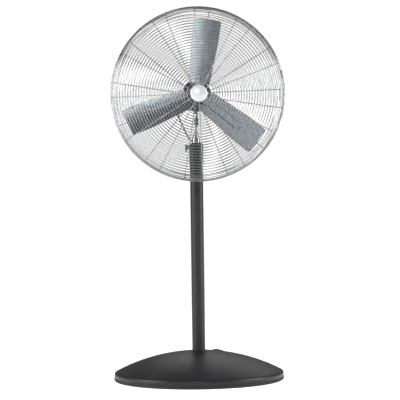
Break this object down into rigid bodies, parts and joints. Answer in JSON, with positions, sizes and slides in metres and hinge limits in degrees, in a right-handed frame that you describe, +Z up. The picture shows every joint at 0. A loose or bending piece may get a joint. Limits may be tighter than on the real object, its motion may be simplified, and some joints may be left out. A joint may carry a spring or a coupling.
{
  "type": "pedestal fan",
  "caption": "Industrial pedestal fan on a weighted dome base, with a clamped telescopic mast, a tilting motor head, a round wire guard and paddle blades.",
  "frame": {"origin": "on the floor under the pole's axis, the centre of the dome base's underside", "axes": "+Z up along the pole; the fan blows towards -Y; +X is to the right seen from the front"},
  "size_m": [0.832, 0.937, 1.795],
  "materials": {
    "black_paint": "satin black powder coat",
    "motor_paint": "satin dark grey enamel",
    "chrome": "bright plated steel",
    "aluminium": "rolled sheet, dull",
    "steel": "zinc plated",
    "iron": "as cast",
    "copper": "lacquered copper winding",
    "rubber": "matte",
    "plastic": "moulded, matte",
    "brass": "bright"
  },
  "bodies": {
    "base": {"base_dome": "black_paint", "base_plate": "steel", "ballast_disc": "iron", "rubber_edge_ring": "rubber", "pole_socket": "steel", "socket_bolt_1": "steel", "socket_bolt_2": "steel", "socket_bolt_3": "steel", "outer_pole": "black_paint", "pole_top_bush": "plastic", "clamp_collar": "black_paint", "cord_gland": "plastic", "mains_cord": "rubber", "cord_coil": "rubber", "cord_tie": "plastic", "mains_plug": "rubber", "plug_blade_1": "brass", "plug_blade_2": "brass", "plug_earth_pin": "brass"},
    "clamp": {"clamp_knob": "plastic", "clamp_screw": "steel"},
    "mast": {"mast_tube": "chrome", "mast_glide_bush": "plastic", "lead_grommet": "rubber", "tilt_bolt": "steel", "tilt_nut": "steel", "lock_bolt": "steel", "lock_nut": "steel"},
    "head": {"tilt_bracket": "motor_paint", "motor_shell": "motor_paint", "motor_front_bell": "motor_paint", "motor_rear_bell": "motor_paint", "front_bearing": "steel", "rear_bearing": "steel", "stator_winding": "copper", "switch_box": "motor_paint", "run_capacitor": "aluminium", "lead_gland": "plastic", "motor_lead": "rubber", "rear_guard": "chrome", "front_guard": "chrome", "centre_badge": "chrome", "guard_clip_1": "steel", "guard_clip_2": "steel", "guard_clip_3": "steel", "guard_clip_4": "steel", "guard_screw_1": "steel", "guard_screw_2": "steel", "guard_screw_3": "steel"},
    "rotor": {"motor_shaft": "steel", "rotor_core": "iron", "blade_hub": "aluminium", "blade_1": "aluminium", "blade_2": "aluminium", "blade_3": "aluminium", "hub_nut": "steel"},
    "speed_switch": {"speed_knob": "plastic"}
  },
  "joints": [
    {"name": "mast_slide", "type": "slide", "parent": "base", "child": "mast", "axis": [0, 0, 1], "range_m": [0, 0.4]},
    {"name": "clamp_turn", "type": "hinge", "parent": "base", "child": "clamp", "pos_m": [-0.045, 0, 1.131], "axis": [1, 0, 0], "range_deg": [0, 720]},
    {"name": "head_tilt", "type": "hinge", "parent": "mast", "child": "head", "pos_m": [0, 0, 1.263], "axis": [-1, 0, 0], "range_deg": [-12, 40], "deforming": ["motor_lead"]},
    {"name": "rotor_spin", "type": "hinge", "parent": "head", "child": "rotor", "pos_m": [0, -0.176, 1.379], "axis": [0, 1, 0], "continuous": true},
    {"name": "speed_select", "type": "hinge", "parent": "head", "child": "speed_switch", "pos_m": [0, 0.1271, 1.393], "axis": [0, 1, 0], "range_deg": [0, 135]}
  ]
}
